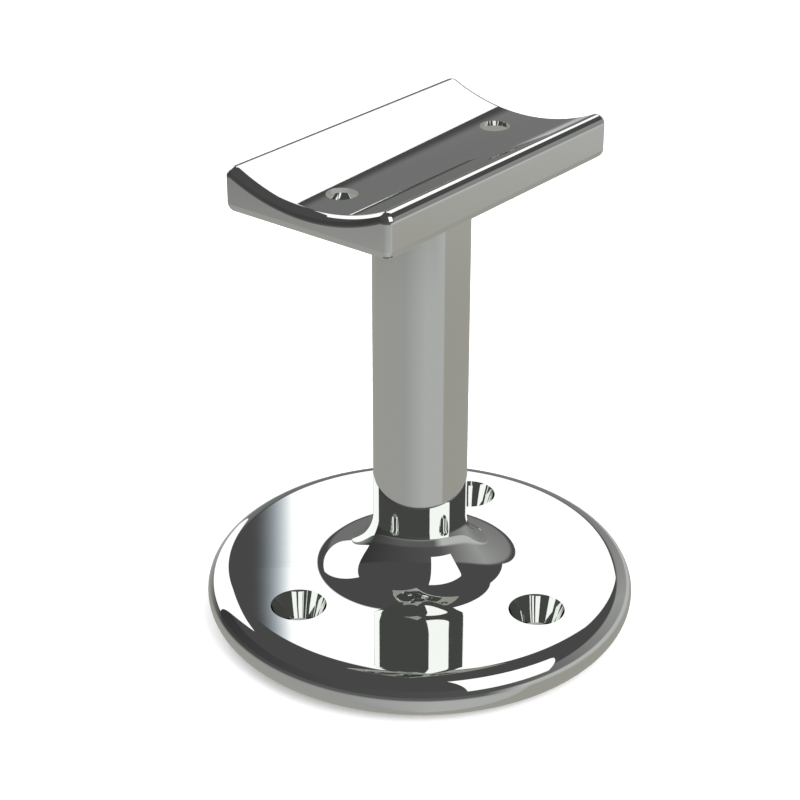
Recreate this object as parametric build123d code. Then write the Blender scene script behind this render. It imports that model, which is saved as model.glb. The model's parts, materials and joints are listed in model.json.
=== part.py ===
from build123d import *
import os
from math import cos, radians, sin, tan

# Handrail bracket: a round bar stands on a turned flange and carries a cradle
# that is screwed to the underside of a round handrail.
# Millimetres, +Z up. The origin is on the flange's underside, at the bar's axis,
# and the handrail runs along X.

# Post, the round bar
post_diameter = 16.0
foot_spigot_diameter = 10.0
foot_spigot_length = 8.0
head_spigot_diameter = 8.0
head_spigot_length = 2.0
spigot_chamfer = 0.5

# Flange
flange_diameter = 73.7
flange_thickness = 8.0
flare_radius = 10.0
fixing_circle_diameter = 49.7
rear_hole_angle = 16.6
fixing_hole_diameter = 6.4
fixing_mouth_diameter = 9.4
fixing_mouth_angle = 35.0

# Saddle, with the height of the handrail's underside above the floor or wall
rail_height = 82.0
saddle_length = 56.6
saddle_width = 32.4
saddle_floor = 4.1
channel_radius = 33.5
saddle_rounding = 1.55
rail_hole_spacing = 38.8
rail_hole_diameter = 5.0
rail_mouth_diameter = 8.6
rail_mouth_angle = 90.0

# Countersunk socket screw that draws the post down on the flange
screw_diameter = 8.0
screw_head_diameter = 15.0
screw_head_angle = 90.0
screw_head_recess = 0.3
screw_engagement = 15.3
screw_tip_chamfer = 1.0
socket_across_flats = 5.0
socket_depth = 3.0

# Clearances
spigot_clearance = 0.05
spigot_end_gap = 0.2
thread_clearance = 0.05
screw_way_clearance = 0.25
screw_tip_gap = 1.5

# Heights that follow from the sizes above
flare_top = flange_thickness + flare_radius
foot_spigot_bottom = flare_top - foot_spigot_length
foot_socket_bottom = foot_spigot_bottom - spigot_end_gap
screw_top = foot_spigot_bottom + screw_engagement
tapped_hole_top = screw_top + screw_tip_gap
saddle_underside = rail_height - saddle_floor
channel_axis_height = rail_height + channel_radius


def rod(diameter, bottom, top):
    """Upright cylinder on the post's axis between two heights."""
    standing = (Align.CENTER, Align.CENTER, Align.MIN)
    return Pos(0, 0, bottom) * Cylinder(diameter / 2, top - bottom, align=standing)


def taper_length(wide, narrow, angle):
    """Length of a cone between two diameters, from its full angle."""
    return (wide - narrow) / 2 / tan(radians(angle / 2))


def countersunk_tool(depth, hole_diameter, mouth_diameter, mouth_angle):
    """Cutter for a hole that goes down from z = 0, with a conical mouth there."""
    mouth_depth = taper_length(mouth_diameter, hole_diameter, mouth_angle)
    hanging = (Align.CENTER, Align.CENTER, Align.MAX)
    mouth = Cone(hole_diameter / 2, mouth_diameter / 2, mouth_depth, align=hanging)
    return rod(hole_diameter, -depth, 0) + mouth


def flange_section():
    """Half section of the flange: full round rim, flat top and concave flare."""
    rim = flange_diameter / 2
    shoulder = rim - flange_thickness / 2
    flare_foot = post_diameter / 2 + flare_radius
    with BuildSketch(Plane.XZ) as section:
        with BuildLine():
            Line((0, 0), (shoulder, 0))
            ThreePointArc((shoulder, 0), (rim, flange_thickness / 2), (shoulder, flange_thickness))
            Line((shoulder, flange_thickness), (flare_foot, flange_thickness))
            RadiusArc((flare_foot, flange_thickness), (post_diameter / 2, flare_top), flare_radius)
            Line((post_diameter / 2, flare_top), (0, flare_top))
            Line((0, flare_top), (0, 0))
        make_face()
    return section.sketch


def fixing_holes():
    """Cutters for the three floor or wall screws, one in front and two behind."""
    hole = countersunk_tool(
        flange_thickness, fixing_hole_diameter, fixing_mouth_diameter, fixing_mouth_angle
    )
    radius = fixing_circle_diameter / 2
    places = []
    for angle in (-90, rear_hole_angle, 180 - rear_hole_angle):
        x = radius * cos(radians(angle))
        y = radius * sin(radians(angle))
        places.append(Pos(x, y, flange_thickness) * hole)
    return places


def base_flange():
    """Turned flange with its flared hub, bored for the post's spigot and screw."""
    flange = revolve(flange_section(), axis=Axis.Z)
    for hole in fixing_holes():
        flange -= hole
    flange -= rod(foot_spigot_diameter + 2 * spigot_clearance, foot_socket_bottom, flare_top)
    screw_way = countersunk_tool(
        foot_socket_bottom,
        screw_diameter + 2 * screw_way_clearance,
        screw_head_diameter + 2 * screw_head_recess * tan(radians(screw_head_angle / 2)),
        screw_head_angle,
    )
    return flange - Rot(180, 0, 0) * screw_way


def post():
    """Round bar with a turned spigot at each end, tapped from below."""
    foot = rod(foot_spigot_diameter, foot_spigot_bottom, flare_top)
    foot = chamfer(foot.edges().sort_by(Axis.Z)[0], spigot_chamfer)
    head = rod(head_spigot_diameter, saddle_underside, saddle_underside + head_spigot_length)
    head = chamfer(head.edges().sort_by(Axis.Z)[-1], spigot_chamfer)
    bar = foot + rod(post_diameter, flare_top, saddle_underside) + head
    return bar - rod(screw_diameter + 2 * thread_clearance, foot_spigot_bottom, tapped_hole_top)


def post_screw():
    """Countersunk screw under the flange, its thread drawn at full diameter."""
    head_height = taper_length(screw_head_diameter, screw_diameter, screw_head_angle)
    shank = rod(screw_diameter, screw_head_recess, screw_top)
    shank = chamfer(shank.edges().sort_by(Axis.Z)[-1], screw_tip_chamfer)
    standing = (Align.CENTER, Align.CENTER, Align.MIN)
    head = Cone(screw_head_diameter / 2, screw_diameter / 2, head_height, align=standing)
    screw = shank + Pos(0, 0, screw_head_recess) * head
    hexagon = RegularPolygon(socket_across_flats / 2, 6, major_radius=False)
    socket = extrude(Pos(0, 0, screw_head_recess) * hexagon, socket_depth)
    return screw - socket


def saddle():
    """Rounded block hollowed lengthways to cradle the handrail."""
    with BuildPart() as block:
        with BuildSketch(Plane.YZ):
            with Locations((0, saddle_underside)):
                Rectangle(
                    saddle_width,
                    channel_axis_height - saddle_underside,
                    align=(Align.CENTER, Align.MIN),
                )
            with Locations((0, channel_axis_height)):
                Circle(channel_radius, mode=Mode.SUBTRACT)
        extrude(amount=saddle_length / 2, both=True)
        fillet(block.edges(), saddle_rounding)
    cradle = block.part
    cradle -= rod(
        head_spigot_diameter + 2 * spigot_clearance,
        saddle_underside,
        saddle_underside + head_spigot_length + spigot_end_gap,
    )
    rail_hole = countersunk_tool(
        saddle_floor + saddle_rounding, rail_hole_diameter, rail_mouth_diameter, rail_mouth_angle
    )
    for side in (-1, 1):
        place = Pos(side * rail_hole_spacing / 2, 0, saddle_underside)
        cradle -= place * Rot(180, 0, 0) * rail_hole
    return cradle


parts = {
    "base_flange": base_flange,
    "post": post,
    "post_screw": post_screw,
    "saddle": saddle,
}

os.makedirs("parts", exist_ok=True)
for name, make in parts.items():
    export_step(make(), f"parts/{name}.step")
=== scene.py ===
# %% [markdown]
# # A polished handrail bracket
# A round post stands on a turned flange and carries a hollowed saddle, into which a round
# handrail is laid. Every face is polished and plated, so nearly all that the eye sees is the
# room around the bracket. The lesson therefore has two halves: shapes whose faces flow into
# each other without a ripple, and a plain studio that is worth mirroring.

# %% The frame that every piece is built in
import json
from math import atan2, cos, hypot, pi, radians, sin, tan

import bmesh
import bpy
from mathutils import Matrix, Vector


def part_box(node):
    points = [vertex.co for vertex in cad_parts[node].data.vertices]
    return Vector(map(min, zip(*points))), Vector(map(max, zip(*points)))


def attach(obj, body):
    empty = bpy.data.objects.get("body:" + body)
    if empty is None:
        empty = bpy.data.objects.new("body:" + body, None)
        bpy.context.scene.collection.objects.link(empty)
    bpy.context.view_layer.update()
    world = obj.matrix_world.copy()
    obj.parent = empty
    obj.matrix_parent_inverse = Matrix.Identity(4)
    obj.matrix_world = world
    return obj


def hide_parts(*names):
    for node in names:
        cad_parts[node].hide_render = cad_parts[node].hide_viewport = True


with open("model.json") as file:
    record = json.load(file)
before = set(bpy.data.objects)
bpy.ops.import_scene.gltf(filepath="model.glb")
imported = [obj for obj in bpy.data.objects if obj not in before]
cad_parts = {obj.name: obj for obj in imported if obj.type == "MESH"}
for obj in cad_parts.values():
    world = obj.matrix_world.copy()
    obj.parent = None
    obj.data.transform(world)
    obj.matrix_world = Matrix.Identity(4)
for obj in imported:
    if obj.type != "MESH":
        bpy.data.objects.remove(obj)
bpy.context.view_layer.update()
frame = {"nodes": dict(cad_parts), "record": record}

# %% [markdown]
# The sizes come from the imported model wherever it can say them: each node has a box, and each
# mount of the record gives a hole's place and radius. Only what neither can say, such as the
# taper of a countersink, is written here, in metres, as on a drawing.

# %% Sizes read from the model, and the few that only a drawing gives
MM = 0.001
mounts = {mount["name"]: mount for mount in frame["record"]["mounts"]}

flange_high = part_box("base_flange")[1]
flange_radius = flange_high.x
flare_top = flange_high.z

post_low, post_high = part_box("post")
post_radius = post_high.x
foot_spigot_bottom = post_low.z
head_spigot_top = post_high.z

saddle_low, saddle_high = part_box("saddle")
seat_height = saddle_low.z
saddle_length = saddle_high.x - saddle_low.x
saddle_width = saddle_high.y - saddle_low.y

screw_low, screw_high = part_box("post_screw")

front_hole = mounts["front_fixing_hole"]
hole_radius = front_hole["dims"]["r_mm"] * MM
hole_circle_radius = -front_hole["pos_m"][1]
hole_taper_bottom = front_hole["pos_m"][2] + front_hole["dims"]["length_mm"] * MM / 2
rear_hole_x = mounts["rear_fixing_holes"]["dims"]["spacing_x_mm"] * MM / 2
rear_hole_y = mounts["rear_fixing_holes"]["pos_m"][1]
cradle = mounts["rail_cradle"]
channel_radius = cradle["dims"]["r_mm"] * MM
channel_floor = cradle["pos_m"][2]
rail_hole_radius = mounts["rail_screw_holes"]["dims"]["hole_r_mm"] * MM
rail_hole_x = mounts["rail_screw_holes"]["dims"]["spacing_x_mm"] * MM / 2

FLANGE_THICKNESS = 8.0 * MM
HOLE_MOUTH_RADIUS = 4.7 * MM
SPIGOT_RADIUS = 5.0 * MM
HEAD_SPIGOT_RADIUS = 4.0 * MM
SPIGOT_CLEARANCE = 0.05 * MM
SPIGOT_END_GAP = 0.2 * MM
SPIGOT_CHAMFER = 0.5 * MM
SCREW_WAY_RADIUS = 4.25 * MM
SCREW_TIP_GAP = 1.5 * MM
THREAD_RADIUS = 4.0 * MM
THREAD_CLEARANCE = 0.05 * MM
SADDLE_ROUNDING = 1.55 * MM
END_ROUNDING = 1.53 * MM
RAIL_MOUTH_RADIUS = 5.62 * MM
RAIL_MOUTH_DEPTH = 3.35 * MM

screw_way_mouth_radius = screw_high.x + screw_low.z
tapped_hole_top = screw_high.z + SCREW_TIP_GAP

print("flange radius", round(flange_radius / MM, 2), "post radius", round(post_radius / MM, 2))
print("saddle", round(saddle_length / MM, 2), "x", round(saddle_width / MM, 2))

# %% [markdown]
# A mirror shows every mistake in a surface, so curved pieces are divided finely. The helpers
# below are the whole tool kit of a turner: a point swung into an arc, a profile swung into a
# solid, and a ring drawn where a hole will be.

# %% Helpers for turned work
ROUND_STEPS = 320
ARC_STEPS = 32
HOLE_STEPS = 96


def start_profile(bm, x, z):
    """First point of a half section, drawn in the XZ plane."""
    return bm.verts.new((x, 0, z))


def line_to(bm, last, x, z):
    """Draws a straight run of the section and returns its end."""
    point = bm.verts.new((x, 0, z))
    bm.edges.new((last, point))
    return point


def arc_by(bm, last, centre_x, centre_z, angle, steps=ARC_STEPS):
    """Swings the section's last point about a centre, which draws an arc."""
    swung = bmesh.ops.spin(
        bm, geom=[last], cent=(centre_x, 0, centre_z), axis=(0, 1, 0),
        angle=radians(angle), steps=steps,
    )
    return [item for item in swung["geom_last"] if isinstance(item, bmesh.types.BMVert)][0]


def turn(bm, steps=ROUND_STEPS):
    """Swings the whole section once round the Z axis, as a lathe does."""
    bmesh.ops.spin(
        bm, geom=bm.verts[:] + bm.edges[:], cent=(0, 0, 0), axis=(0, 0, 1),
        angle=2 * pi, steps=steps, use_merge=True,
    )
    bmesh.ops.remove_doubles(bm, verts=bm.verts[:], dist=1e-7)


def ring(bm, radius, x, y, z, steps=HOLE_STEPS):
    """Circle of edges, one step of a hole's wall."""
    made = bmesh.ops.create_circle(
        bm, radius=radius, segments=steps, matrix=Matrix.Translation((x, y, z))
    )
    return list({edge for vert in made["verts"] for edge in vert.link_edges})


def rim_at(bm, radius, z):
    """Open edges that lie on a circle round the Z axis."""
    return [
        edge for edge in bm.edges
        if len(edge.link_faces) == 1
        and all(abs(hypot(v.co.x, v.co.y) - radius) < 1e-6 for v in edge.verts)
        and all(abs(v.co.z - z) < 1e-6 for v in edge.verts)
    ]


# %% [markdown]
# Polished metal has faces that are either truly flat or truly round. Weighted normals keep the
# flat ones flat, and an edge of more than a few degrees stays crisp. Each piece says how many
# edges are still open, so that a hole in its skin is seen at once.

# %% Helpers that turn a mesh into a finished piece
SHARP_ANGLE = 12


def shine(piece):
    """Smooth shading whose flat faces stay flat right up to their rounded edges."""
    for face in piece.data.polygons:
        face.use_smooth = True
    piece.data.set_sharp_from_angle(angle=radians(SHARP_ANGLE))
    weighted = piece.modifiers.new("flat faces stay flat", "WEIGHTED_NORMAL")
    weighted.mode = "FACE_AREA"
    weighted.weight = 100
    weighted.keep_sharp = True


def make_piece(name, bm):
    """Closes the work on a mesh: normals outwards, then an object at the origin."""
    bmesh.ops.recalc_face_normals(bm, faces=bm.faces[:])
    open_edges = sum(1 for edge in bm.edges if len(edge.link_faces) != 2)
    volume = bm.calc_volume(signed=True)
    mesh = bpy.data.meshes.new(name)
    bm.to_mesh(mesh)
    bm.free()
    piece = bpy.data.objects.new(name, mesh)
    bpy.context.scene.collection.objects.link(piece)
    print(name, "faces", len(mesh.polygons), "open edges", open_edges,
          "volume mm3", round(volume / MM**3, 1))
    return piece


# %% [markdown]
# The flange is the foot that is screwed to a floor or wall. It is turned from bar: a full round
# rim, a flat top, and a hollow flare that sweeps up to the post. A subdivision surface could make
# such a shape, but it would soften the flat top, and a mirror would show that at once. So the
# section is drawn with true arcs and spun. The flat top and bottom are left open by the spin and
# filled afterwards, because they have to leave room for the three countersunk screw holes.

# %% Turned flange with flared hub and three countersunk holes
def flange_mesh():
    bm = bmesh.new()
    half = FLANGE_THICKNESS / 2
    shoulder = flange_radius - half
    flare_radius = flare_top - FLANGE_THICKNESS
    flare_foot = post_radius + flare_radius
    socket_radius = SPIGOT_RADIUS + SPIGOT_CLEARANCE
    socket_bottom = foot_spigot_bottom - SPIGOT_END_GAP
    screw_mouth_depth = screw_way_mouth_radius - SCREW_WAY_RADIUS

    rim_start = start_profile(bm, shoulder, 0)
    arc_by(bm, rim_start, shoulder, half, -180, 2 * ARC_STEPS)
    flare_start = start_profile(bm, flare_foot, FLANGE_THICKNESS)
    last = arc_by(bm, flare_start, flare_foot, flare_top, 90)
    last = line_to(bm, last, socket_radius, flare_top)
    last = line_to(bm, last, socket_radius, socket_bottom)
    last = line_to(bm, last, SCREW_WAY_RADIUS, socket_bottom)
    last = line_to(bm, last, SCREW_WAY_RADIUS, screw_mouth_depth)
    line_to(bm, last, screw_way_mouth_radius, 0)
    turn(bm)

    top_edges = rim_at(bm, shoulder, FLANGE_THICKNESS) + rim_at(bm, flare_foot, FLANGE_THICKNESS)
    bottom_edges = rim_at(bm, shoulder, 0) + rim_at(bm, screw_way_mouth_radius, 0)
    places = [(0, -hole_circle_radius), (rear_hole_x, rear_hole_y), (-rear_hole_x, rear_hole_y)]
    for x, y in places:
        mouth = ring(bm, HOLE_MOUTH_RADIUS, x, y, FLANGE_THICKNESS)
        throat = ring(bm, hole_radius, x, y, hole_taper_bottom)
        outlet = ring(bm, hole_radius, x, y, 0)
        bmesh.ops.bridge_loops(bm, edges=mouth + throat)
        bmesh.ops.bridge_loops(bm, edges=throat + outlet)
        top_edges += mouth
        bottom_edges += outlet
    for edges in (top_edges, bottom_edges):
        bmesh.ops.triangle_fill(bm, use_beauty=True, use_dissolve=False, edges=edges)
    return bm


flange = make_piece("turned_flange", flange_mesh())
shine(flange)

# %% [markdown]
# The post is a length of round bar. Only its side shows, but it is turned down to a spigot at
# each end and tapped from below for the screw that draws it on to the flange, so the spun section
# carries those steps too: whoever takes the bracket apart in a scene finds them there.

# %% Post with its two spigots and its tapped hole
def post_mesh():
    bm = bmesh.new()
    tapped_radius = THREAD_RADIUS + THREAD_CLEARANCE
    last = start_profile(bm, 0, tapped_hole_top)
    last = line_to(bm, last, tapped_radius, tapped_hole_top)
    last = line_to(bm, last, tapped_radius, foot_spigot_bottom)
    last = line_to(bm, last, SPIGOT_RADIUS - SPIGOT_CHAMFER, foot_spigot_bottom)
    last = line_to(bm, last, SPIGOT_RADIUS, foot_spigot_bottom + SPIGOT_CHAMFER)
    last = line_to(bm, last, SPIGOT_RADIUS, flare_top)
    last = line_to(bm, last, post_radius, flare_top)
    last = line_to(bm, last, post_radius, seat_height)
    last = line_to(bm, last, HEAD_SPIGOT_RADIUS, seat_height)
    last = line_to(bm, last, HEAD_SPIGOT_RADIUS, head_spigot_top - SPIGOT_CHAMFER)
    last = line_to(bm, last, HEAD_SPIGOT_RADIUS - SPIGOT_CHAMFER, head_spigot_top)
    line_to(bm, last, 0, head_spigot_top)
    turn(bm)
    return bm


post = make_piece("round_post", post_mesh())
shine(post)

# %% [markdown]
# The saddle is a milled block with a long hollow for the rail and every edge rounded over. A
# bevel of the whole block would round the thin lips too little, because a bevel keeps its width
# and not its radius where an edge is sharper than a right angle. So the end face is drawn with
# its four rounded corners as true arcs, pushed along the rail's direction, and only the outlines
# of the two ends are bevelled. The two screw holes cross a curved floor, and there a Boolean is
# the honest tool: it cuts them where the drill would. Their wide countersink is on the underside,
# where the screws go in; from above it shows only as a pale cone below a short straight bore.
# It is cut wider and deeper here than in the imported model, because that shows the cone better.

# %% Saddle block
END_STEPS = 12


def swing(bm, last, centre_y, centre_z, angle, steps):
    """Swings the end outline's last point about a centre in the YZ plane."""
    swung = bmesh.ops.spin(
        bm, geom=[last], cent=(last.co.x, centre_y, centre_z), axis=(1, 0, 0),
        angle=angle, steps=steps,
    )
    return [item for item in swung["geom_last"] if isinstance(item, bmesh.types.BMVert)][0]


def straight_to(bm, last, y, z):
    """Draws a straight run of the end outline and returns its end."""
    point = bm.verts.new((last.co.x, y, z))
    bm.edges.new((last, point))
    return point


def saddle_mesh():
    bm = bmesh.new()
    rounding = SADDLE_ROUNDING
    half_width = saddle_width / 2
    axis_height = channel_floor + channel_radius
    lip_y = half_width - rounding
    lip_z = axis_height - ((channel_radius + rounding) ** 2 - lip_y**2) ** 0.5
    lip_angle = atan2(lip_y, axis_height - lip_z)
    foot_z = seat_height + rounding

    start = bm.verts.new((
        -saddle_length / 2,
        -channel_radius * sin(lip_angle),
        axis_height - channel_radius * cos(lip_angle),
    ))
    last = swing(bm, start, 0, axis_height, 2 * lip_angle, 3 * ARC_STEPS)
    last = swing(bm, last, lip_y, lip_z, -pi / 2 - lip_angle, ARC_STEPS)
    last = straight_to(bm, last, half_width, foot_z)
    last = swing(bm, last, lip_y, foot_z, -pi / 2, ARC_STEPS // 2)
    last = straight_to(bm, last, -lip_y, seat_height)
    last = swing(bm, last, -lip_y, foot_z, -pi / 2, ARC_STEPS // 2)
    last = straight_to(bm, last, -half_width, lip_z)
    swing(bm, last, -lip_y, lip_z, -pi / 2 - lip_angle, ARC_STEPS)
    bmesh.ops.remove_doubles(bm, verts=bm.verts[:], dist=1e-7)

    end_face = bmesh.ops.contextual_create(bm, geom=bm.edges[:])["faces"]
    outline = list(end_face[0].edges)
    pushed = bmesh.ops.extrude_face_region(bm, geom=end_face)
    moved = [item for item in pushed["geom"] if isinstance(item, bmesh.types.BMVert)]
    far_outline = [item for item in pushed["geom"] if isinstance(item, bmesh.types.BMEdge)]
    bmesh.ops.translate(bm, verts=moved, vec=(saddle_length, 0, 0))
    bmesh.ops.recalc_face_normals(bm, faces=bm.faces[:])
    bmesh.ops.bevel(
        bm, geom=outline + far_outline, offset=END_ROUNDING, offset_type="OFFSET",
        segments=END_STEPS, profile=0.5, affect="EDGES", clamp_overlap=False, material=-1,
    )
    return bm


def drill(name, x, mouth_radius, mouth_depth, radius, clear):
    """Cutter for a hole from the saddle's underside, with a countersink there."""
    bm = bmesh.new()
    slope = (mouth_radius - radius) / mouth_depth
    top = channel_floor + clear
    bottom = seat_height - clear
    last = start_profile(bm, 0, top)
    last = line_to(bm, last, radius, top)
    last = line_to(bm, last, radius, seat_height + mouth_depth)
    last = line_to(bm, last, mouth_radius + clear * slope, bottom)
    line_to(bm, last, 0, bottom)
    turn(bm, HOLE_STEPS)
    bmesh.ops.translate(bm, verts=bm.verts[:], vec=(x, 0, 0))
    return make_piece(name, bm)


def seat_cutter(name):
    """Cutter for the blind seat that takes the post's head spigot."""
    bm = bmesh.new()
    radius = HEAD_SPIGOT_RADIUS + SPIGOT_CLEARANCE
    top = head_spigot_top + SPIGOT_END_GAP
    last = start_profile(bm, 0, top)
    last = line_to(bm, last, radius, top)
    last = line_to(bm, last, radius, seat_height - MM)
    line_to(bm, last, 0, seat_height - MM)
    turn(bm, HOLE_STEPS)
    return make_piece(name, bm)


def cut(piece, cutters):
    """Cuts the holes, keeps the result as the piece's own mesh and clears the cutters away."""
    for cutter in cutters:
        boolean = piece.modifiers.new("cut " + cutter.name, "BOOLEAN")
        boolean.operation = "DIFFERENCE"
        boolean.solver = "EXACT"
        boolean.object = cutter
    bpy.context.view_layer.update()
    evaluated = piece.evaluated_get(bpy.context.evaluated_depsgraph_get())
    result = bpy.data.meshes.new_from_object(evaluated)
    result.name = piece.name
    piece.modifiers.clear()
    piece.data = result
    for cutter in cutters:
        bpy.data.objects.remove(cutter)
    print(piece.name, "after cutting has", len(result.polygons), "faces")


saddle = make_piece("rail_saddle", saddle_mesh())
cut(saddle, [
    drill("left_drill", -rail_hole_x, RAIL_MOUTH_RADIUS, RAIL_MOUTH_DEPTH, rail_hole_radius, MM),
    drill("right_drill", rail_hole_x, RAIL_MOUTH_RADIUS, RAIL_MOUTH_DEPTH, rail_hole_radius, MM),
    seat_cutter("spigot_seat"),
])
shine(saddle)

# %% [markdown]
# Bright chrome is a thin plating on polished metal. Real chromium mirrors a little over half of
# the light that falls on it. Here it mirrors nearly nine tenths, so that a reflection seen a
# second time is nearly as bright as the first. A perfect mirror would look computed, so three
# things that a buffing wheel leaves are laid in: very fine lines, a roughness that wanders a
# little, and a faint haze.

# %% Bright chrome
HAZE_SCALE = 60
CLOUD_SCALE = 90
LINE_SCALE = 900
CHROME_ROUGHNESS = (0.012, 0.035)
LINE_STRENGTH = 0.02
LINE_DEPTH = 0.02 * MM


def new_material(name):
    material = bpy.data.materials.new(name)
    material.use_nodes = True
    nodes = material.node_tree.nodes
    return material, nodes, material.node_tree.links, nodes["Principled BSDF"]


def add_noise(nodes, links, coordinates, scale, detail, stretch=(1, 1, 1)):
    """Noise on the piece's own coordinates, stretched along an axis where asked."""
    mapping = nodes.new("ShaderNodeMapping")
    mapping.inputs["Scale"].default_value = stretch
    links.new(coordinates.outputs["Object"], mapping.inputs["Vector"])
    noise = nodes.new("ShaderNodeTexNoise")
    noise.inputs["Scale"].default_value = scale
    noise.inputs["Detail"].default_value = detail
    links.new(mapping.outputs["Vector"], noise.inputs["Vector"])
    return noise


def ranged(nodes, links, source, low, high):
    """Spreads a 0 to 1 value between two others."""
    spread = nodes.new("ShaderNodeMapRange")
    spread.inputs["From Min"].default_value = 0.3
    spread.inputs["From Max"].default_value = 0.7
    spread.inputs["To Min"].default_value = low
    spread.inputs["To Max"].default_value = high
    links.new(source.outputs["Fac"], spread.inputs["Value"])
    return spread


def bright_chrome(name, line_direction):
    """Polished chrome plate; line_direction is stretched where the buffing lines run."""
    material, nodes, links, shader = new_material(name)
    coordinates = nodes.new("ShaderNodeTexCoord")
    shader.inputs["Metallic"].default_value = 1.0
    tone = nodes.new("ShaderNodeMix")
    tone.data_type = "RGBA"
    tone.inputs["A"].default_value = (0.874, 0.896, 0.868, 1)
    tone.inputs["B"].default_value = (0.892, 0.912, 0.886, 1)
    haze = add_noise(nodes, links, coordinates, HAZE_SCALE, 2)
    links.new(haze.outputs["Fac"], tone.inputs["Factor"])
    links.new(tone.outputs["Result"], shader.inputs["Base Color"])
    cloud = add_noise(nodes, links, coordinates, CLOUD_SCALE, 3)
    gloss = ranged(nodes, links, cloud, *CHROME_ROUGHNESS)
    links.new(gloss.outputs["Result"], shader.inputs["Roughness"])
    lines = add_noise(nodes, links, coordinates, LINE_SCALE, 2, line_direction)
    bump = nodes.new("ShaderNodeBump")
    bump.inputs["Strength"].default_value = LINE_STRENGTH
    bump.inputs["Distance"].default_value = LINE_DEPTH
    links.new(lines.outputs["Fac"], bump.inputs["Height"])
    links.new(bump.outputs["Normal"], shader.inputs["Normal"])
    return material


turned_chrome = bright_chrome("bright chrome on turned work", (0.05, 0.05, 1))
milled_chrome = bright_chrome("bright chrome on the saddle", (0.05, 1, 1))
for piece, finish in ((flange, turned_chrome), (post, turned_chrome), (saddle, milled_chrome)):
    piece.data.materials.clear()
    piece.data.materials.append(finish)
print("chrome on", [piece.name for piece in (flange, post, saddle)])

# %% [markdown]
# The countersunk screw under the flange is plain machined steel. It never sees a buffing wheel,
# so its head shows the fine rings of the lathe.

# %% Machined steel for the screw
STEEL_CLOUD_SCALE = 300
STEEL_ROUGHNESS = (0.22, 0.38)
RING_SCALE = 900
RING_STRENGTH = 0.25
RING_DEPTH = 0.03 * MM


def machined_steel(name):
    material, nodes, links, shader = new_material(name)
    coordinates = nodes.new("ShaderNodeTexCoord")
    shader.inputs["Metallic"].default_value = 1.0
    tone = nodes.new("ShaderNodeMix")
    tone.data_type = "RGBA"
    tone.inputs["A"].default_value = (0.50, 0.50, 0.48, 1)
    tone.inputs["B"].default_value = (0.62, 0.62, 0.60, 1)
    cloud = add_noise(nodes, links, coordinates, STEEL_CLOUD_SCALE, 4)
    links.new(cloud.outputs["Fac"], tone.inputs["Factor"])
    links.new(tone.outputs["Result"], shader.inputs["Base Color"])
    gloss = ranged(nodes, links, cloud, *STEEL_ROUGHNESS)
    links.new(gloss.outputs["Result"], shader.inputs["Roughness"])
    rings = nodes.new("ShaderNodeTexWave")
    rings.wave_type = "RINGS"
    rings.rings_direction = "Z"
    rings.inputs["Scale"].default_value = RING_SCALE
    rings.inputs["Distortion"].default_value = 1.5
    rings.inputs["Detail"].default_value = 2
    links.new(coordinates.outputs["Object"], rings.inputs["Vector"])
    bump = nodes.new("ShaderNodeBump")
    bump.inputs["Strength"].default_value = RING_STRENGTH
    bump.inputs["Distance"].default_value = RING_DEPTH
    links.new(rings.outputs["Fac"], bump.inputs["Height"])
    links.new(bump.outputs["Normal"], shader.inputs["Normal"])
    return material


screw = frame["nodes"]["post_screw"]
screw.data.materials.clear()
screw.data.materials.append(machined_steel("machined steel"))
print("steel on", screw.name)

# %% [markdown]
# Every new piece belongs to the one rigid body and takes the place of the model's node. The screw
# keeps the model's own mesh, because it is already the shape of a real one.

# %% Each piece stands for its node
for piece, node in ((flange, "base_flange"), (post, "post"), (saddle, "saddle")):
    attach(piece, "root")
    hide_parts(node)
    print(piece.name, "stands for", node)

# %% [markdown]
# The camera looks down on the bracket from the front left, as a buyer would hold it. Its place
# was worked out from the ellipses of the flange and the parallel edges of the saddle, and the
# lens follows from the size of the picture.

# %% Camera
CAMERA_AZIMUTH = -51.3368
CAMERA_ELEVATION = 27.323
CAMERA_DISTANCE = 0.3318
SIDE_STEP = -0.003422
AIM_HEIGHT = 0.039344
IMAGE_WIDTH = 800
FOCAL_PIXELS = 1988.5668
SENSOR_WIDTH = 36.0


def direction(azimuth, elevation):
    """Unit vector towards an azimuth from +X and an elevation, in degrees."""
    a, e = radians(azimuth), radians(elevation)
    return Vector((cos(a) * cos(e), sin(a) * cos(e), sin(e)))


def add_camera():
    turn_angle, tilt = radians(CAMERA_AZIMUTH), radians(CAMERA_ELEVATION)
    back = Vector((sin(turn_angle) * cos(tilt), -cos(turn_angle) * cos(tilt), sin(tilt)))
    right = Vector((cos(turn_angle), sin(turn_angle), 0))
    data = bpy.data.cameras.new("camera")
    data.sensor_width = SENSOR_WIDTH
    data.lens = SENSOR_WIDTH * FOCAL_PIXELS / IMAGE_WIDTH
    data.clip_start = 0.01
    data.clip_end = 30
    camera = bpy.data.objects.new("camera", data)
    matrix = Matrix((right, back.cross(right), back)).transposed().to_4x4()
    matrix.translation = right * SIDE_STEP + Vector((0, 0, AIM_HEIGHT)) + back * CAMERA_DISTANCE
    camera.matrix_world = matrix
    bpy.context.scene.collection.objects.link(camera)
    bpy.context.scene.camera = camera
    print("lens mm", round(data.lens, 3))


add_camera()

# %% [markdown]
# A mirror needs a room. A studio for polished goods is mostly dull: dark walls, a grey bench and
# a few white cloths, because each of them turns up again in the metal. Here the room is one big
# dome whose colour depends on the direction, so the helpers below turn a direction into angles
# and blend one zone softly into the next. A tone is written as the chrome shows it on screen.

# %% Helpers for materials that know their direction
CHROME_SHARE = 0.9


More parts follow.
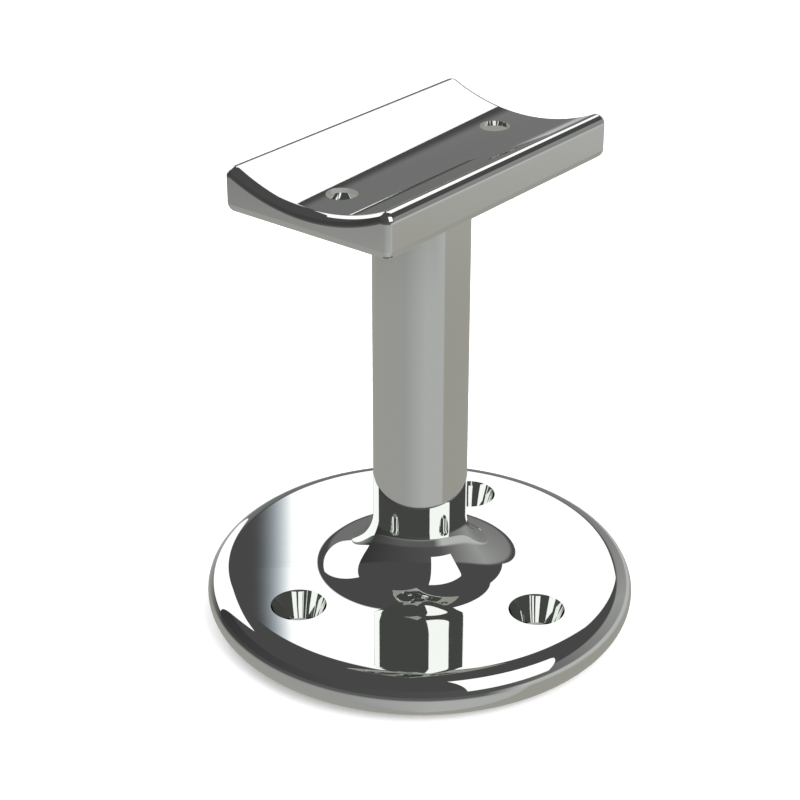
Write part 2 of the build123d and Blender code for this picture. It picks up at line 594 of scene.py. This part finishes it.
def calculate(nodes, links, operation, first, second=None):
    """One step of arithmetic between two sockets or numbers."""
    step = nodes.new("ShaderNodeMath")
    step.operation = operation
    for socket, value in zip(step.inputs, (first, second)):
        if isinstance(value, (int, float)):
            socket.default_value = value
        elif value is not None:
            links.new(value, socket)
    return step.outputs["Value"]


def soft_step(nodes, links, value, start, end):
    """Rises smoothly from 0 to 1 while the value goes from start to end."""
    step = nodes.new("ShaderNodeMapRange")
    step.interpolation_type = "SMOOTHSTEP"
    step.inputs["From Min"].default_value = start
    step.inputs["From Max"].default_value = end
    links.new(value, step.inputs["Value"])
    return step.outputs["Result"]


def light_of(tone):
    """Light that a wall has to give so that the chrome shows a screen tone of 0 to 255."""
    tones = tone if isinstance(tone, tuple) else (tone,) * 3
    return tuple(((value / 255 + 0.055) / 1.055) ** 2.4 / CHROME_SHARE for value in tones)


def compass_ramp(nodes, links, x, y, stops):
    """Colour by azimuth: stops are pairs of degrees and the tone that the chrome shows there."""
    angle = calculate(nodes, links, "ARCTAN2", y, x)
    share = calculate(nodes, links, "MULTIPLY_ADD", angle, 0.5 / pi)
    share.node.inputs[2].default_value = 0.5
    ramp = nodes.new("ShaderNodeValToRGB")
    links.new(share, ramp.inputs["Fac"])
    elements = ramp.color_ramp.elements
    while len(elements) > 1:
        elements.remove(elements[-1])
    for index, (degree, tone) in enumerate(stops):
        position = degree / 360 + 0.5
        element = elements[0] if index == 0 else elements.new(position)
        element.position = position
        element.color = (*light_of(tone), 1)
    return ramp.outputs["Color"]


def blend_colours(nodes, links, factor, first, second):
    blend = nodes.new("ShaderNodeMix")
    blend.data_type = "RGBA"
    links.new(factor, blend.inputs["Factor"])
    for name, value in (("A", first), ("B", second)):
        if isinstance(value, tuple):
            blend.inputs[name].default_value = (*value, 1)
        else:
            links.new(value, blend.inputs[name])
    return blend.outputs["Result"]


def split_direction(nodes, links):
    """X, Y, Z of the direction in which a point of the room is seen."""
    coordinates = nodes.new("ShaderNodeTexCoord")
    unit = nodes.new("ShaderNodeVectorMath")
    unit.operation = "NORMALIZE"
    links.new(coordinates.outputs["Object"], unit.inputs[0])
    split = nodes.new("ShaderNodeSeparateXYZ")
    links.new(unit.outputs["Vector"], split.inputs["Vector"])
    return split.outputs["X"], split.outputs["Y"], split.outputs["Z"]


def glowing(name):
    """Empty material with an emission that carries the room's own light."""
    material = bpy.data.materials.new(name)
    material.use_nodes = True
    nodes, links = material.node_tree.nodes, material.node_tree.links
    nodes.clear()
    glow = nodes.new("ShaderNodeEmission")
    output = nodes.new("ShaderNodeOutputMaterial")
    links.new(glow.outputs["Emission"], output.inputs["Surface"])
    return material, nodes, links, glow


# %% [markdown]
# The floor is plain and pale. The lamps and the white surround together show a grey that faces
# up about 1.8 times as bright as it is written, which is more than a studio needs, so the floor
# comes out white. A little light of its own is added to that, and the soft shadow round the
# flange stays. The chrome doesn't look at the floor: it looks at the grey bench of the room.

# %% Pale floor
ROOM_RADIUS = 8.0
FLOOR_TONE = 0.88
FLOOR_LIFT = 0.16


def add_floor():
    """Pale floor that looks white from any camera and still takes the bracket's shadow."""
    bm = bmesh.new()
    bmesh.ops.create_circle(bm, cap_ends=True, radius=ROOM_RADIUS, segments=128)
    floor = make_piece("floor", bm)
    material, nodes, links, shader = new_material("pale floor")
    shader.inputs["Base Color"].default_value = (FLOOR_TONE, FLOOR_TONE, FLOOR_TONE, 1)
    shader.inputs["Roughness"].default_value = 0.9
    shader.inputs["Specular IOR Level"].default_value = 0.0
    shader.inputs["Emission Color"].default_value = (1, 1, 1, 1)
    seen_by = nodes.new("ShaderNodeLightPath")
    seen = calculate(
        nodes, links, "MAXIMUM", seen_by.outputs["Is Camera Ray"], seen_by.outputs["Is Glossy Ray"]
    )
    seen = calculate(nodes, links, "MAXIMUM", seen, seen_by.outputs["Is Transmission Ray"])
    links.new(
        calculate(nodes, links, "MULTIPLY", seen, FLOOR_LIFT), shader.inputs["Emission Strength"]
    )
    floor.data.materials.append(material)
    floor.visible_glossy = False


add_floor()

# %% [markdown]
# The room is kept as plain as a real studio: a grey bench, a pale skirting, a wall that goes from
# dark on one side to pale on the other, and a dark ceiling. The tones are round numbers, settled
# by comparing renders with the photograph. The long faces of the saddle and the two halves of the
# post take their grey from here, and the one sharp step in the bench, where a slightly warm board
# begins, draws the fine upright line on the post.

# %% Room that the chrome mirrors
WARM_GREY = (152, 150, 144)
TONES = {
    "bench": [(-180, 150), (-130, 170), (-87, 170), (-84, WARM_GREY), (50, WARM_GREY), (180, 150)],
    "skirting": [(-180, 90), (-110, 90), (-90, 180), (45, 180), (100, 60), (180, 90)],
    "wall": [(-180, 70), (-100, 80), (-10, 150), (40, 110), (75, 110), (90, 50), (180, 70)],
    "ceiling": [(0, 70)],
}
BORDERS = [(-25, -14), (-7, -2), (23, 27)]


def add_room():
    """Dome all round, above and below, that only polished faces see."""
    bm = bmesh.new()
    bmesh.ops.create_uvsphere(bm, u_segments=96, v_segments=48, radius=ROOM_RADIUS)
    room = make_piece("room_walls", bm)
    material, nodes, links, glow = glowing("studio room")
    x, y, z = split_direction(nodes, links)
    colour, *upper_zones = [compass_ramp(nodes, links, x, y, stops) for stops in TONES.values()]
    for upper, (low, high) in zip(upper_zones, BORDERS):
        height = soft_step(nodes, links, z, sin(radians(low)), sin(radians(high)))
        colour = blend_colours(nodes, links, height, colour, upper)
    links.new(colour, glow.inputs["Color"])
    room.data.materials.append(material)
    room.visible_camera = False
    room.visible_diffuse = False
    room.visible_shadow = False


add_room()

# %% [markdown]
# Three large panels hang in the room: one on the camera's right and two behind the bracket. Each
# is an area lamp behind a white cloth. The lamp gives the soft light, and the cloth is all that
# the chrome sees of it, only just bright enough to come out white, so that the edges of its
# reflection stay clean. The cloth behind the bracket hangs over on one side and fades out there,
# which gives the cool soft edge on the left of the flange.

# %% Soft panels
PANEL_DISTANCE = 6.0
PANEL_RADIANCE = 4.05
CLOTH_LIGHT = 1.15
CLOTH_FADE = 0.12
CLOTH_FADE_POWER = 2.3
CLOTH_COOL_TINT = (0.86, 1.0, 1.18)
TONE_PAST_CLOTH = 70
CLOTH_OVERHANG = 0.081


def cloth(name, fade_from=None):
    """White diffusing cloth; where asked, it fades away bluish over its last stretch along X."""
    material, nodes, links, glow = glowing(name)
    glow.inputs["Color"].default_value = (1, 1, 1, 1)
    glow.inputs["Strength"].default_value = CLOTH_LIGHT
    if fade_from is None:
        return material
    coordinates = nodes.new("ShaderNodeTexCoord")
    split = nodes.new("ShaderNodeSeparateXYZ")
    links.new(coordinates.outputs["Object"], split.inputs["Vector"])
    share = nodes.new("ShaderNodeMapRange")
    share.inputs["From Min"].default_value = fade_from + CLOTH_FADE
    share.inputs["From Max"].default_value = fade_from
    links.new(split.outputs["X"], share.inputs["Value"])
    share = calculate(nodes, links, "POWER", share.outputs["Result"], CLOTH_FADE_POWER)
    tinted = blend_colours(nodes, links, share, CLOTH_COOL_TINT, (1.0, 1.0, 1.0))
    dark = tuple(light / CLOTH_LIGHT for light in light_of(TONE_PAST_CLOTH))
    links.new(blend_colours(nodes, links, share, dark, tinted), glow.inputs["Color"])
    return material


def add_panel(
    name, azimuth, elevation, turn_by, lean_by, roll, half_width, half_height, faded=False
):
    """Lamp and the cloth in front of it, in a direction from the bracket; angles in degrees."""
    size_x = 2 * PANEL_DISTANCE * tan(radians(half_width))
    size_y = 2 * PANEL_DISTANCE * tan(radians(half_height))
    towards = direction(azimuth, elevation)
    side = Vector((-sin(radians(azimuth)), cos(radians(azimuth)), 0))
    upward = towards.cross(side)
    turn_by, lean_by = radians(turn_by), radians(lean_by)
    away = (
        towards * (cos(turn_by) * cos(lean_by)) + side * (sin(turn_by) * cos(lean_by))
        + upward * sin(lean_by)
    )
    across = upward.cross(away).normalized()
    rolled = Matrix.Rotation(radians(roll), 3, away)
    axes = (rolled @ across, rolled @ away.cross(across), away)
    matrix = Matrix(axes).transposed().to_4x4()
    matrix.translation = towards * PANEL_DISTANCE

    lamp = bpy.data.lights.new(name + "_lamp", "AREA")
    lamp.shape = "RECTANGLE"
    lamp.size = size_x
    lamp.size_y = size_y
    lamp.energy = PANEL_RADIANCE * pi * size_x * size_y
    light = bpy.data.objects.new(name + "_lamp", lamp)
    light.matrix_world = matrix
    light.visible_camera = False
    light.visible_glossy = False
    bpy.context.scene.collection.objects.link(light)

    bm = bmesh.new()
    bmesh.ops.create_grid(bm, x_segments=1, y_segments=1, size=0.5)
    bmesh.ops.scale(bm, verts=bm.verts[:], vec=(size_x, size_y, 1))
    if faded:
        edge = [vert for vert in bm.verts if vert.co.x > 0]
        bmesh.ops.translate(bm, verts=edge, vec=(CLOTH_OVERHANG, 0, 0))
    front = make_piece(name, bm)
    front.matrix_world = matrix
    fade_from = size_x / 2 + CLOTH_OVERHANG - CLOTH_FADE if faded else None
    front.data.materials.append(cloth(name + " cloth", fade_from))
    front.visible_camera = False
    front.visible_diffuse = False
    front.visible_shadow = False


add_panel(
    "right_panel", azimuth=-85.0, elevation=37.2, turn_by=-25.3, lean_by=3.1, roll=-19.9,
    half_width=23.3, half_height=24.2,
)
add_panel(
    "left_rear_panel", azimuth=72.2, elevation=20.5, turn_by=17.1, lean_by=-8.3, roll=10.3,
    half_width=20.5, half_height=21.8,
)
add_panel(
    "rear_panel", azimuth=21.7, elevation=39.3, turn_by=35.7, lean_by=3.6, roll=10.3,
    half_width=17.0, half_height=11.0, faded=True,
)

# %% [markdown]
# Beyond the floor the picture is plain white. The same white surround also lights whatever isn't
# polished, because only polished faces see the room's walls. Colours are shown without a film
# curve.

# %% White surround and plain colours
world = bpy.data.worlds.new("white surround")
world.use_nodes = True
world.node_tree.nodes["Background"].inputs["Color"].default_value = (1, 1, 1, 1)
world.node_tree.nodes["Background"].inputs["Strength"].default_value = 1.0
bpy.context.scene.world = world
bpy.context.scene.view_settings.view_transform = "Standard"
print("colours shown with", bpy.context.scene.view_settings.view_transform)
